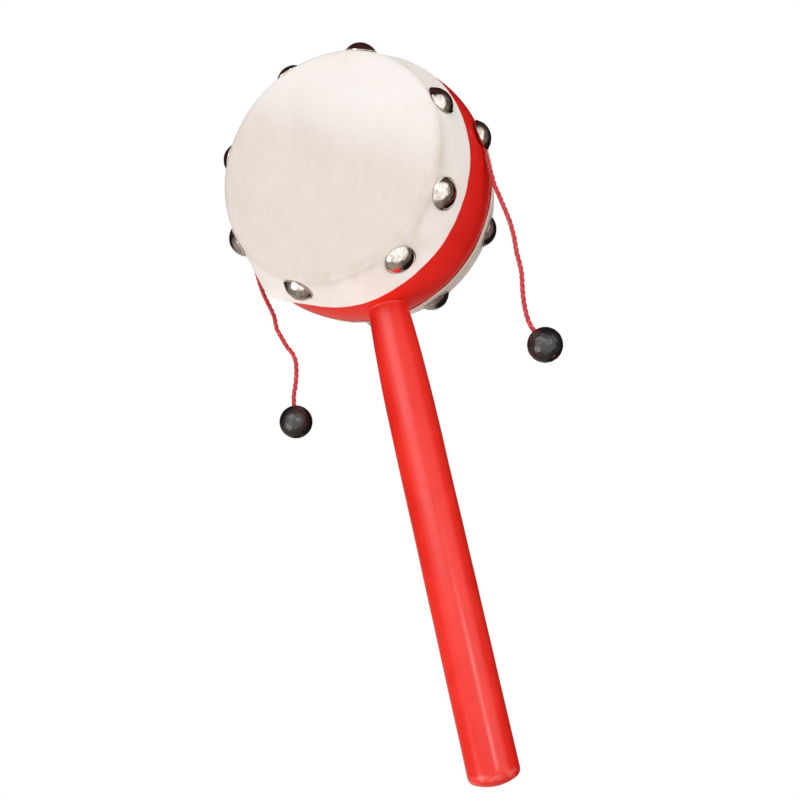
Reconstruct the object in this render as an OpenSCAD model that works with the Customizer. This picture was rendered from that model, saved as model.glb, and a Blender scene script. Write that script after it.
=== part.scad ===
// Pellet drum rattle: a small barrel drum on a turned handle, with two beads on cords that strike its heads.
// The handle lies along Z with the drum at its top, the front head faces -Y, and the origin is the middle
// of the straight grip.

/* [Drum shell] */
// Diameter of the wooden shell at its crown, in the middle
shell_d = 95; // [80:0.5:110]
// How far the crown stands out beyond the shell's two ends
shell_bulge = 6.7; // [5:0.1:8.5]
// Width of the shell between its two ends
shell_w = 51; // [46:0.5:60]
// Radius of the rounded crown between the two straight flanks
crown_r = 33; // [26:0.5:38]
// Thickness of the shell's wall at its two ends
wall_t = 4.3; // [3.6:0.1:6]
// Rounding of the shell's outer end edges
shell_edge_r = 1.2; // [0.6:0.1:1.8]

/* [Heads] */
// Thickness of the skin
skin_t = 0.7; // [0.4:0.05:1.2]
// Width of the skirt from the shell's end to the skin's cut edge
skirt_w = 14.1; // [12:0.1:17]

/* [Tacks] */
// Diameter of a tack's domed head
tack_d = 11; // [8:0.1:11.5]
// Height of a tack's domed head
tack_h = 3.2; // [2.4:0.1:4]
// Thickness of the sheet that the head is pressed from
tack_sheet_t = 0.6; // [0.4:0.05:0.9]
// Distance of a tack ring from the shell's end
tack_inset = 5.5; // [4.5:0.1:7]
// Diameter of a tack's nail
nail_d = 1.4; // [1:0.1:2]
// Depth of a tack's nail below the skin
nail_l = 6; // [4.5:0.1:6.5]
// Length of the point on a tack's nail
nail_tip_l = 2; // [1:0.1:3]

/* [Handle] */
// Diameter of the straight grip
grip_d = 16.7; // [15:0.1:20]
// Length of the straight grip
grip_l = 115; // [90:1:150]
// Height of the rounded free end of the handle
grip_end_h = 4.2; // [3.4:0.1:6]
// Rounding of the edge of that end
grip_end_r = 3; // [1.5:0.1:3.2]
// Length of the neck between the grip and the shell
neck_l = 42; // [30:1:60]
// Diameter of the neck where it enters the shell
neck_d = 14; // [12:0.1:14.5]
// Diameter of the spindle across the hollow of the drum
spindle_d = 10; // [7:0.1:11.5]
// Depth of the spindle's blind socket in the top wall of the shell
socket_l = 6; // [4:0.1:7]

/* [Handle nail] */
// Diameter of the nail through the top of the shell
pin_d = 2; // [1.4:0.1:3]
// Depth of that nail in the spindle
pin_l = 14; // [8:0.5:30]
// Diameter of its flat head
pin_head_d = 4.6; // [4:0.1:6]
// Thickness of its flat head
pin_head_t = 1; // [0.6:0.1:1.5]

/* [Cords and beads] */
// Diameter of a cord
cord_d = 1.6; // [1.2:0.1:1.8]
// Thickness of a cord where its tack presses it flat
cord_flat_t = 0.5; // [0.4:0.05:0.5]
// Height of the cord tacks above the middle of the drum
anchor_h = 1.5; // [0:0.1:3]
// Height of a cord tack's rim above the shell
anchor_rim_h = 0.5; // [0.5:0.05:1]
// Depth of a cord tack's nail in the shell
anchor_nail_l = 8; // [6:0.1:9]
// Diameter of a bead
bead_d = 11.7; // [10:0.1:12.5]
// Diameter of the hole through a bead
bead_bore_d = 2.1; // [2:0.05:2.3]
// Diameter of the knot that stops a bead
knot_d = 2.8; // [2.6:0.1:3.6]
// Length of that knot
knot_l = 2.4; // [2:0.1:3]

/* [Hidden] */
$fn = 96;

lacquer_red = "#d8241c";
skin_cream = "#efe7de";
nickel = "#b8b7b3";
cord_red = "#c62a3a";
bead_black = "#27272b";

// Sides of the drum: the front head faces -Y, and the right cord hangs at +X
front = -1;
rear = 1;
right = 1;
left = -1;

// One overrun for all cuts, and the clearances of the fits
overrun = 1;
nail_gap = 0.05;
glue_gap = 0.05;
seat_gap = 0.04;
eye_gap = 0.08;
pocket_gap = 0.1;

// The barrel's outline is an arc over the crown with a straight flank on each side, tangent to it
shell_r = shell_d / 2;
shell_end_r = shell_r - shell_bulge;
half_w = shell_w / 2;
bore_r = shell_end_r - wall_t;
crown_c = shell_r - crown_r;
flank_angle = atan2(half_w, shell_end_r - crown_c) - acos(crown_r / norm([shell_end_r - crown_c, half_w]));
flank_reach = crown_c * cos(flank_angle) + crown_r;
edge_y = half_w - shell_edge_r;
edge_x = (flank_reach - shell_edge_r - edge_y * sin(flank_angle)) / cos(flank_angle);
flank_way = [cos(flank_angle), sin(flank_angle)];

// Clock places of the tacks, in degrees from three o'clock towards twelve, as hammered in by eye
front_tack_angles = [11, 64, 102, 151, 195, 238, 291, 326];
rear_tack_angles = [18, 66, 112, 158, 206, 255, 285, 326];
tack_y = half_w - tack_inset;
tack_x = (flank_reach + skin_t - tack_y * sin(flank_angle)) / cos(flank_angle);

// A tack's head is a cap of a sphere, hollow underneath
tack_r = tack_d / 2;
dome_r = (tack_r * tack_r + tack_h * tack_h) / (2 * tack_h);
dome_drop = dome_r - tack_h;
hollow_r = dome_r - tack_sheet_t;

// The free end of the grip is a shallow dome with a rounded edge, tangent to it
grip_r = grip_d / 2;
end_edge_x = grip_r - grip_end_r;
end_dome_r = (end_edge_x * end_edge_x + grip_end_h * grip_end_h - grip_end_r * grip_end_r)
    / (2 * (grip_end_h - grip_end_r));
end_angle = asin(end_edge_x / (end_dome_r - grip_end_r));

// Heights along the handle, whose neck narrows along one long arc
neck_r = neck_d / 2;
neck_drop = grip_r - neck_r;
neck_arc_r = (neck_l * neck_l + neck_drop * neck_drop) / (2 * neck_drop);
neck_arc_sides = 3600;
grip_top_z = grip_l / 2;
end_dome_z = end_dome_r - grip_end_h - grip_top_z;
shell_bottom_z = grip_top_z + neck_l;
drum_z = shell_bottom_z + shell_r;
hollow_bottom_z = drum_z - bore_r;
spindle_top_z = drum_z + bore_r + socket_l;
shell_top_z = drum_z + shell_r;

// Each cord leaves an eye round the nail of its tack, pressed flat under the head. The route's points give
// the distance outwards from the shell and the drop below the nail. A short straight stretch lets the cord
// twist, and it bends at the knuckle below that.
cord_r = cord_d / 2;
cord_sides = 8;
eye_r = nail_d / 2 + nail_gap + cord_d;
anchor_z = drum_z + anchor_h;
bend_limit = 102;
knuckle_gap = 0.1;
knuckle_drop = cord_r * tan(bend_limit / 2) + knuckle_gap;
knuckle_turns = [75, 50, 25];
twist_drop = 36;
bend_drop = 40;
right_bend_out = 2.4;
left_bend_out = -3.5;
right_upper_route = [
    [0.34, 1.6], [0.28, 3.4], [0.18, 5.2], [0.4, 7], [0.4, 9], [0.3, 12], [0.4, 16], [0.5, 20], [1.1, 24],
    [1.6, 28], [2.1, 32], [2.4, 35], [right_bend_out, twist_drop]
];
left_upper_route = [
    [0.34, 1.6], [0.28, 3.4], [0.18, 5.2], [0.4, 7], [0.4, 9], [0.3, 12], [0.1, 16], [-0.2, 20], [-0.7, 24],
    [-1.6, 28], [-2.7, 32], [-3.4, 35], [left_bend_out, twist_drop]
];
right_lower_route = [
    [right_bend_out, bend_drop], [2.2, 42.5], [1.9, 46], [1.9, 49.5], [1.7, 53.5], [0.9, 57.5], [0.2, 61.5],
    [-0.2, 65], [-0.3, 68.5], [0, 71.5]
];
left_lower_route = [
    [left_bend_out, bend_drop], [-4.2, 42.5], [-5.2, 45.5], [-6.3, 48.5], [-7.8, 51.5], [-8.4, 54.5],
    [-8.1, 57.5], [-7.4, 60.5], [-6.2, 64], [-5, 67]
];

// How thick the cord is at each point of an upper route, as shares of its diameter
pressed_share = cord_flat_t / cord_d;
flatness_shares = [pressed_share, pressed_share, pressed_share, 0.75];

// A bead hangs on the end of the route, with its hole leaning outwards by a few degrees
bead_r = bead_d / 2;
right_bead_at = [3.1, 80];
left_bead_at = [-3.9, 76.4];
right_bead_lean = 22;
left_bead_lean = 5;
knot_r = knot_d / 2;
knot_top = bead_r - knot_l;

// The outline of the barrel, grown outwards by a skin, with rounded end edges
module barrel_section(grow) {
    side = half_w + grow;
    arc_r = crown_r + grow;
    crown_edge = [crown_c, 0] + arc_r * flank_way;
    flank_edge = [edge_x, edge_y] + (shell_edge_r + grow) * flank_way;
    upper_half = [crown_edge, flank_edge, [edge_x, side], [0, side]];
    polygon(concat(upper_half, [for (i = [len(upper_half) - 1 : -1 : 0]) [upper_half[i][0], -upper_half[i][1]]]));
    intersection() {
        translate([crown_c, 0]) circle(arc_r);
        polygon([
            [crown_c, 0], [crown_c, 0] + 2 * arc_r * [flank_way[0], -flank_way[1]],
            [crown_c, 0] + 2 * arc_r * flank_way
        ]);
    }
    for (s = [-1, 1]) translate([edge_x, s * edge_y]) circle(shell_edge_r + grow);
}

// Turns a solid of revolution so that its axis lies along Y, on the drum's centre
module on_drum(side) {
    translate([0, 0, drum_z]) rotate([-90 * side, 0, 0]) children();
}

// Puts what stands along Z on the skin, square to it, at one clock place of a tack ring
module at_tack(angle, side) {
    translate([0, 0, drum_z]) rotate([0, -angle, 0]) translate([tack_x, side * tack_y, 0])
        rotate([0, 0, side * flank_angle]) rotate([0, 90, 0]) children();
}

// Puts what stands along Z on the bare band, where a cord is held
module at_anchor(hand) {
    translate([hand * shell_r, 0, anchor_z]) rotate([0, hand * 90, 0]) children();
}

// The hole that a tack's nail fills
module nail_hole(depth) {
    translate([0, 0, -depth - nail_gap]) cylinder(r = nail_d / 2 + nail_gap, h = depth + nail_gap + overrun);
}

// A tack with its rim at the given height and its point at the given depth
module tack(rim_z, depth) {
    translate([0, 0, rim_z]) rotate_extrude() difference() {
        intersection() {
            translate([0, -dome_drop]) circle(dome_r);
            square([tack_d, tack_d]);
        }
        translate([0, -dome_drop]) circle(hollow_r);
    }
    translate([0, 0, nail_tip_l - depth])
        cylinder(d = nail_d, h = depth - nail_tip_l + rim_z + tack_h - tack_sheet_t / 2);
    translate([0, 0, -depth]) cylinder(d1 = 0, d2 = nail_d, h = nail_tip_l);
}

module drum_shell() {
    color(lacquer_red) difference() {
        on_drum(rear) rotate_extrude() difference() {
            barrel_section(0);
            translate([0, -shell_w]) square([bore_r, 2 * shell_w]);
        }
        for (angle = front_tack_angles) at_tack(angle, front) nail_hole(nail_l);
        for (angle = rear_tack_angles) at_tack(angle, rear) nail_hole(nail_l);
        for (hand = [right, left]) at_anchor(hand) nail_hole(anchor_nail_l);
        translate([0, 0, shell_bottom_z - overrun])
            cylinder(r = spindle_d / 2 + glue_gap, h = spindle_top_z - shell_bottom_z + overrun + glue_gap);
        translate([0, 0, drum_z]) cylinder(r = pin_d / 2 + nail_gap, h = shell_r + overrun);
    }
}

// A head is one skin stretched over the shell's end, with a skirt that the tacks hold
module head(side, angles) {
    color(skin_cream) difference() {
        on_drum(side) rotate_extrude() difference() {
            intersection() {
                barrel_section(skin_t);
                translate([0, half_w - skirt_w]) square([shell_d, shell_w]);
            }
            barrel_section(0);
        }
        for (angle = angles) at_tack(angle, side) nail_hole(nail_l);
    }
}

module head_tacks(side, angles) {
    color(nickel) for (angle = angles) at_tack(angle, side) tack(seat_gap, nail_l);
}

module front_head() {
    head(front, front_tack_angles);
}

module rear_head() {
    head(rear, rear_tack_angles);
}

module front_head_tacks() {
    head_tacks(front, front_tack_angles);
}

module rear_head_tacks() {
    head_tacks(rear, rear_tack_angles);
}

// The outline of the grip, its rounded end and the neck, turned round the handle's axis
module grip_section() {
    dome_edge = [end_dome_r * sin(end_angle), end_dome_z - end_dome_r * cos(end_angle)];
    polygon([[0, grip_top_z], [grip_r, grip_top_z], [grip_r, -grip_top_z], dome_edge, [0, dome_edge[1]]]);
    translate([end_edge_x, -grip_top_z]) circle(grip_end_r);
    intersection() {
        translate([0, end_dome_z]) circle(end_dome_r);
        polygon([
            [0, end_dome_z], [0, end_dome_z - 2 * end_dome_r],
            [2 * end_dome_r * sin(end_angle), end_dome_z - 2 * end_dome_r * cos(end_angle)]
        ]);
    }
    intersection() {
        translate([grip_r - neck_arc_r, grip_top_z]) circle(neck_arc_r, $fn = neck_arc_sides);
        translate([0, grip_top_z]) square([grip_r, neck_l]);
    }
}

// The neck is hollowed to sit on the round shell, and a thinner spindle runs on through it to the top wall
module handle() {
    color(lacquer_red) difference() {
        union() {
            difference() {
                union() {
                    rotate_extrude() grip_section();
                    translate([0, 0, grip_top_z]) cylinder(d = neck_d, h = hollow_bottom_z - grip_top_z);
                }
                on_drum(rear) rotate_extrude() barrel_section(glue_gap);
            }
            translate([0, 0, grip_top_z]) cylinder(d = spindle_d, h = spindle_top_z - grip_top_z);
        }
        translate([0, 0, spindle_top_z - pin_l - nail_gap])
            cylinder(r = pin_d / 2 + nail_gap, h = pin_l + nail_gap + overrun);
    }
}

module handle_nail() {
    color(nickel) {
        translate([0, 0, spindle_top_z - pin_l]) cylinder(d = pin_d, h = pin_l + shell_top_z - spindle_top_z);
        translate([0, 0, shell_top_z]) cylinder(d = pin_head_d, h = pin_head_t);
    }
}

module cord_tack(hand) {
    color(nickel) at_anchor(hand) tack(anchor_rim_h, anchor_nail_l);
}

module right_cord_tack() {
    cord_tack(right);
}

module left_cord_tack() {
    cord_tack(left);
}

// A place on a cord, from its distance outwards and its drop below the nail
function cord_place(hand, at) = [hand * (shell_r + at[0]), 0, anchor_z - at[1]];

// The way a route runs at one of its points, as a unit vector in the plane of the cord
function way_at(route, i) =
    let (step = route[min(i + 1, len(route) - 1)] - route[max(i - 1, 0)]) step / norm(step);

// One ring of a cord's skin round a point of its route, pressed to a share of its thickness
function cord_ring(hand, at, way, ring_r, flatness) = [
    for (k = [0 : cord_sides - 1])
        let (turn = (k + 1 / 2) * 360 / cord_sides)
        cord_place(hand, at + flatness * ring_r * cos(turn) * [way[1], -way[0]])
            + [0, hand * ring_r * sin(turn), 0]
];

// A tube through rings of points, with a flat cap at each end
module cord_tube(rings) {
    last = len(rings) - 1;
    walls = [
        for (i = [0 : last - 1]) for (k = [0 : cord_sides - 1])
            let (
                a = i * cord_sides + k,
                b = i * cord_sides + (k + 1) % cord_sides
            ) each [[a, b, b + cord_sides], [a, b + cord_sides, a + cord_sides]]
    ];
    caps = [
        [for (k = [cord_sides - 1 : -1 : 0]) k],
        [for (k = [0 : cord_sides - 1]) last * cord_sides + k]
    ];
    polyhedron(points = [for (ring = rings) each ring], faces = concat(walls, caps));
}

// The upper stretch, with the flat eye that turns on the nail
module cord_upper(hand, route) {
    last = len(route) - 1;
    color(cord_red) {
        difference() {
            at_anchor(hand) translate([0, 0, eye_gap]) cylinder(r = eye_r, h = cord_flat_t);
            at_anchor(hand) cylinder(r = nail_d / 2 + nail_gap, h = tack_d);
        }
        cord_tube([
            for (i = [0 : last])
                let (
                    way = i == last ? [0, 1] : way_at(route, i),
                    flatness = i < len(flatness_shares) ? flatness_shares[i] : 1
                ) cord_ring(hand, route[i], way, cord_r, flatness)
        ]);
    }
}

// The short stretch that twists, straight down to the knuckle where the cord bends
module cord_middle(hand, out) {
    color(cord_red) translate(cord_place(hand, [out, bend_drop - knuckle_drop]))
        cylinder(r = cord_r, h = bend_drop - knuckle_drop - twist_drop);
}

// The lower stretch, with a round end at the knuckle, down into the bead as far as the knot
module cord_lower(hand, route, bead_at, lean) {
    bore_way = [sin(lean), cos(lean)];
    stretch = concat(route, [bead_at - bead_r * bore_way, bead_at + knot_top * bore_way]);
    last = len(stretch) - 1;
    knuckle = [
        for (turn = knuckle_turns)
            cord_ring(hand, route[0] - [0, cord_r * sin(turn)], [0, 1], cord_r * cos(turn), 1)
    ];
    tube = [
        for (i = [0 : last])
            let (way = i == 0 ? [0, 1] : i >= last - 1 ? bore_way : way_at(stretch, i))
            cord_ring(hand, stretch[i], way, cord_r, 1)
    ];
    color(cord_red) cord_tube(concat(knuckle, tube));
}

module right_cord_upper() {
    cord_upper(right, right_upper_route);
}

module left_cord_upper() {
    cord_upper(left, left_upper_route);
}

module right_cord_middle() {
    cord_middle(right, right_bend_out);
}

module left_cord_middle() {
    cord_middle(left, left_bend_out);
}

module right_cord_lower() {
    cord_lower(right, right_lower_route, right_bead_at, right_bead_lean);
}

module left_cord_lower() {
    cord_lower(left, left_lower_route, left_bead_at, left_bead_lean);
}

// Puts what stands along Z on a bead's centre, running the way its cord leaves it
module at_bead(hand, at, lean) {
    translate(cord_place(hand, at)) rotate([0, hand * (180 - lean), 0]) children();
}

// A drilled ball, with a wider pocket at the far end of its hole for the knot
module bead(hand, at, lean) {
    color(bead_black) at_bead(hand, at, lean) difference() {
        sphere(d = bead_d);
        cylinder(d = bead_bore_d, h = 2 * bead_d, center = true);
        translate([0, 0, knot_top]) cylinder(r = knot_r + pocket_gap, h = bead_d);
    }
}

// The knot on the end of the cord, flat where it seats in the bead's pocket and round where it shows
module knot(hand, at, lean) {
    color(cord_red) at_bead(hand, at, lean) rotate_extrude() {
        intersection() {
            translate([0, bead_r - knot_r]) circle(knot_r);
            translate([0, bead_r - knot_r]) square([knot_r, knot_r]);
        }
        translate([0, knot_top]) square([knot_r, knot_l - knot_r]);
    }
}

module right_bead() {
    bead(right, right_bead_at, right_bead_lean);
}

module left_bead() {
    bead(left, left_bead_at, left_bead_lean);
}

module right_knot() {
    knot(right, right_bead_at, right_bead_lean);
}

module left_knot() {
    knot(left, left_bead_at, left_bead_lean);
}

drum_shell();
front_head();
rear_head();
front_head_tacks();
rear_head_tacks();
handle();
handle_nail();
right_cord_tack();
left_cord_tack();
right_cord_upper();
left_cord_upper();
right_cord_middle();
left_cord_middle();
right_cord_lower();
left_cord_lower();
right_bead();
left_bead();
right_knot();
left_knot();
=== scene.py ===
# Pellet drum rattle: a small barrel drum on a turned handle, with two beads on cords that strike its heads.
# All lengths are in metres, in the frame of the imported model.
import math

import bpy
from mathutils import Matrix, Vector, noise


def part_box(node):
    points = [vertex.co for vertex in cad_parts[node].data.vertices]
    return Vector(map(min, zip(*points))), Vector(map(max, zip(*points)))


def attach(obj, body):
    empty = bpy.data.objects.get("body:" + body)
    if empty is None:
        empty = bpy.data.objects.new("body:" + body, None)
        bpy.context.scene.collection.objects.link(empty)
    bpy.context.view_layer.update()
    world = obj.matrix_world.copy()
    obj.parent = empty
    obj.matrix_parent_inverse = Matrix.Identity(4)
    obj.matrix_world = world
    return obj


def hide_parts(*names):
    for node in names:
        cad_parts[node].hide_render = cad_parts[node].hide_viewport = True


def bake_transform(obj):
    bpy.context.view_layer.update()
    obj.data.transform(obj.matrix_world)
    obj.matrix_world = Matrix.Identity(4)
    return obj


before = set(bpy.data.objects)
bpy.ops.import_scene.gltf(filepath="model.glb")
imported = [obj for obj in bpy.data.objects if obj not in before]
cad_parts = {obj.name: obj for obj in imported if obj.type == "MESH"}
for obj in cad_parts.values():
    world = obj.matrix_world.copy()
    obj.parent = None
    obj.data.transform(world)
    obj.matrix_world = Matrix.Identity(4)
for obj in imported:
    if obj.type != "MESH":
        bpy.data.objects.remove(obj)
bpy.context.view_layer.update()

MM = 0.001

# The camera of the photograph: where it stands, what it looks at and how it is rolled
CAMERA_AT = Vector((137.57, -359.53, -51.41)) * MM
CAMERA_AIM = Vector((-3.17, 0, 67.03)) * MM
CAMERA_ROLL = math.radians(-12.692)
LENS_MM = 53.25
SENSOR_MM = 36

# The shell: its sizes from the frame, and the curves of its barrel
shell_low, shell_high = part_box("drum_shell")
head_low, head_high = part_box("rear_head")
SHELL_R = (shell_high[0] - shell_low[0]) / 2
SHELL_HALF_W = (shell_high[1] - shell_low[1]) / 2
DRUM_Z = (head_high[2] + head_low[2]) / 2
DRUM_AT = Vector((0, 0, DRUM_Z))
SHELL_BOTTOM_Z = DRUM_Z - SHELL_R
SHELL_BULGE = 6.7 * MM
CROWN_R = 33 * MM
WALL_T = 4.3 * MM
SHELL_EDGE_R = 1.2 * MM
SHELL_END_R = SHELL_R - SHELL_BULGE
BORE_R = SHELL_END_R - WALL_T
CROWN_C = SHELL_R - CROWN_R
CROWN_REACH = math.hypot(SHELL_END_R - CROWN_C, SHELL_HALF_W)
FLANK = math.atan2(SHELL_HALF_W, SHELL_END_R - CROWN_C) - math.acos(CROWN_R / CROWN_REACH)
FLANK_REACH = CROWN_C * math.cos(FLANK) + CROWN_R
EDGE_Y = SHELL_HALF_W - SHELL_EDGE_R
EDGE_X = (FLANK_REACH - SHELL_EDGE_R - EDGE_Y * math.sin(FLANK)) / math.cos(FLANK)

# The heads. Clock places are in degrees from three o'clock towards twelve. Between its tacks a skirt is
# slack. A loose or a short place of it has its clock place, its reach in degrees and its measure.
HEADS = {
    "front_head": {
        "side": -1,
        "tacks": (11, 64, 102, 151, 195, 238, 291, 326),
        "slack": 0.30 * MM,
        "loose": ((221, 12, 2.8 * MM), (128, 14, 0.5 * MM), (265, 12, 0.4 * MM)),
        "short": (229, 13, 1.6 * MM),
        "seed": 11,
    },
    "rear_head": {
        "side": 1,
        "tacks": (18, 66, 112, 158, 206, 255, 285, 326),
        "slack": 0.25 * MM,
        "loose": ((220, 15, 0.3 * MM), (120, 15, 0.4 * MM)),
        "short": (40, 20, 0.5 * MM),
        "seed": 23,
    },
}
SKIN_T = head_high[1] - SHELL_HALF_W
SKIN_GAP = 0.03 * MM
SKIN_EDGE_R = SHELL_EDGE_R + SKIN_T
SKIRT_W = 14.1 * MM
FLANK_OUT = Vector((math.cos(FLANK), math.sin(FLANK)))
FLANK_ALONG = Vector((-FLANK_OUT.y, FLANK_OUT.x))
SKIRT_TOP = (EDGE_X + SKIN_EDGE_R * math.cos(FLANK), EDGE_Y + SKIN_EDGE_R * math.sin(FLANK))
SKIRT_REACH = (SHELL_HALF_W - SKIRT_W - EDGE_Y - SKIN_EDGE_R * FLANK_OUT.y) / FLANK_OUT.x
SKIRT_CUT = Vector(SKIRT_TOP) + SKIRT_REACH * FLANK_ALONG
SKIRT_L = SKIRT_TOP[1] - SKIRT_CUT.y
FACE_RINGS = 60
INNER_FACE_RINGS = 6
SKIRT_RINGS = 26

# How the skins lie. A tack holds the skirt down within its reach in degrees, and so does the room of a cord.
# The front face's creases are lines about its middle, in millimetres.
TACK_HOLDS, TACK_HOLD_REACH = 0.75, 9
CORD_HOLDS, CORD_HOLD_REACH = 0.7, 8
CORD_CLOCKS = (2, 178)
SKIRT_PUFF = 0.225
WRINKLE_H = 0.12 * MM
WRINKLE_SUNK = 0.02 * MM
RAGGED_H = 0.3 * MM
FACE_UNEVEN_H = 0.10 * MM
FACE_SUNK = 0.06 * MM
CREASE_H = 0.06 * MM
CREASE_HALF_W = 0.9 * MM
CREASE_END = 0.15
FACE_CREASES = (((-0.6, 9.6), (1.3, -4.9)), ((1.3, -4.9), (2.6, -19.6)), ((1.3, -4.9), (6.5, 12.5)))

# The tacks
TACK_R = 5.5 * MM
TACK_H = 3.2 * MM
TACK_SHEET_T = 0.6 * MM
TACK_INSET = 5.5 * MM
TACK_Y = SHELL_HALF_W - TACK_INSET
TACK_X = (FLANK_REACH + SKIN_T - TACK_Y * math.sin(FLANK)) / math.cos(FLANK)
TACK_SEAT = 0.04 * MM
TACK_RIM_TURN = 0.09
TACK_POLE_GAP = 0.03
TACK_DENT = 2.2 * MM
HEAD_TACK_DENT_H = 0.16 * MM
CORD_TACK_DENT_H = 0.14 * MM
NAIL_R = 0.7 * MM
NAIL_L = 6 * MM
NAIL_TIP_L = 2 * MM
NAIL_TIP_SHARE = 0.08
ANCHOR_Z = DRUM_Z + 1.5 * MM
ANCHOR_RIM_H = 0.5 * MM
ANCHOR_NAIL_L = 8 * MM

# The handle, the lacquer in its joint and its nail
handle_low, handle_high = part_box("handle")
GRIP_R = (handle_high[0] - handle_low[0]) / 2
GRIP_TOP_Z = 57.5 * MM
END_Z = handle_low[2]
END_H = -GRIP_TOP_Z - END_Z
END_EDGE_R = 3 * MM
END_POLE = math.radians(-89)
NECK_L = 42 * MM
NECK_R = 7 * MM
SHOULDER_Z = SHELL_BOTTOM_Z + 1.5 * MM
SPINDLE_R = 5 * MM
SPINDLE_EDGE = 0.5 * MM
SPINDLE_TOP_Z = handle_high[2]
GRIP_LUMP = 18 * MM
GRIP_LUMP_H = 0.12 * MM
JOINT_PAINT_R = 0.8 * MM
JOINT_PAINT_UNEVEN = 0.45
PIN_R = 1 * MM
PIN_TIP_L = 0.5 * MM
PIN_TIP_SHARE = 0.6
PIN_HEAD_R = 2.3 * MM
PIN_HEAD_T = 1 * MM
PIN_EDGE_R = 0.3 * MM
PIN_CROWN_H = 0.12 * MM
PIN_L = 14 * MM

# The cords. A point of a route, or a bead's place, is its distance outwards from the shell and its drop
# below the tack's nail, in millimetres.
CORDS = {
    "right": {
        "hand": 1,
        "route": (
            (0.34, 1.6), (0.28, 3.4), (0.18, 5.2), (0.4, 7), (0.4, 9), (0.3, 12), (0.4, 16), (0.5, 20),
            (1.1, 24), (1.6, 28), (2.1, 32), (2.4, 35), (2.4, 36), (2.4, 40), (2.2, 42.5), (1.9, 46),
            (1.9, 49.5), (1.7, 53.5), (0.9, 57.5), (0.2, 61.5), (-0.2, 65), (-0.3, 68.5), (0, 71.5),
        ),
        "bend_out": 2.4 * MM,
        "bead_at": (3.1, 80),
        "bead_lean": math.radians(22),
        "bead_lump_h": 0.22 * MM,
    },
    "left": {
        "hand": -1,
        "route": (
            (0.34, 1.6), (0.28, 3.4), (0.18, 5.2), (0.4, 7), (0.4, 9), (0.3, 12), (0.1, 16), (-0.2, 20),
            (-0.7, 24), (-1.6, 28), (-2.7, 32), (-3.4, 35), (-3.5, 36), (-3.5, 40), (-4.2, 42.5),
            (-5.2, 45.5), (-6.3, 48.5), (-7.8, 51.5), (-8.4, 54.5), (-8.1, 57.5), (-7.4, 60.5),
            (-6.2, 64), (-5, 67),
        ),
        "bend_out": -3.5 * MM,
        "bead_at": (-3.9, 76.4),
        "bead_lean": math.radians(5),
        "bead_lump_h": 0.08 * MM,
    },
}
JOIN_DROP = 37 * MM
CORD_R = 0.8 * MM
CORD_FLAT_SHARE = 0.31
PRESSED_DROP = 5.5 * MM
FREE_DROP = 9 * MM
STRANDS = 3
STRAND_R = 0.46 * MM
STRAND_SIDES = 10
LAY_R = 0.40 * MM
LAY_L = 6.6 * MM
CORD_STEP = LAY_L / 24
CURVE_STEPS = 12
EYE_OUT = 0.33 * MM
EYE_ROOM = 0.2 * MM

# The beads and the knots under them
BEAD_R = 5.85 * MM
BEAD_BORE_R = 1.05 * MM
BEAD_LUMP = 1.1 * MM
HOLE_EDGE = 0.3 * MM
KNOT_R = 1.4 * MM
KNOT_L = 2.4 * MM
KNOT_SUNK = 0.7 * MM
KNOT_STRAND_R = 0.48 * MM
KNOT_WAVE_H = 0.6 * MM
KNOT_SWING = 0.38
KNOT_RINGS = 96
POCKET_R = KNOT_R + 0.1 * MM

# The studio: the lamps with their places, sizes and watts, and whether they show in gloss
LIGHT_AIM = Vector((0, 0, 90)) * MM
SOFTBOXES = (
    ("key_softbox", (-0.04, -0.92, 0.55), 0.8, 4.3, True),
    ("strip_softbox", (0.50, -0.62, 0.0), 0.16, 0.75, True),
    ("low_softbox", (-0.55, -0.20, -0.44), 0.35, 3.2, False),
    ("fill_softbox", (0.80, -0.28, -0.02), 0.5, 2.6, False),
    ("top_softbox", (-0.15, -0.35, 1.0), 0.7, 2.5, False),
    ("rear_softbox", (-0.2, 0.9, 0.25), 0.6, 4.5, False),
)
WHITE = (1, 1, 1, 1)
FLOOR_Z = END_Z - 0.55
FLOOR_R = 0.75
FLOOR_FADE = (0.12, 0.5)
CURTAIN_R = 1.3
CURTAIN_AT = Vector((0, 0, 0.1))


# Helpers for modelling

def deselect():
    bpy.ops.object.select_all(action="DESELECT")


def select_only(*pieces):
    deselect()
    for piece in pieces:
        piece.select_set(True)
    bpy.context.view_layer.objects.active = pieces[0]


def named(piece, name):
    piece.name = name
    piece.data.name = name
    return piece


def apply_place():
    """Moves the place of the selected pieces into their meshes."""
    bpy.ops.object.transform_apply(location=True, rotation=True, scale=True)


def placed(piece, matrix):
    """Moves a piece to its place and applies that to its mesh."""
    piece.matrix_world = matrix
    select_only(piece)
    apply_place()
    return piece


def copy_of(piece, name):
    select_only(piece)
    bpy.ops.object.duplicate()
    return named(bpy.context.object, name)


def joined(name, pieces):
    select_only(*pieces)
    bpy.ops.object.join()
    return named(bpy.context.object, name)


def outward_faces(piece):
    """Turns every face of a closed piece outwards."""
    select_only(piece)
    bpy.ops.object.mode_set(mode="EDIT")
    bpy.ops.mesh.select_all(action="SELECT")
    bpy.ops.mesh.normals_make_consistent(inside=False)
    bpy.ops.object.mode_set(mode="OBJECT")


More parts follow.
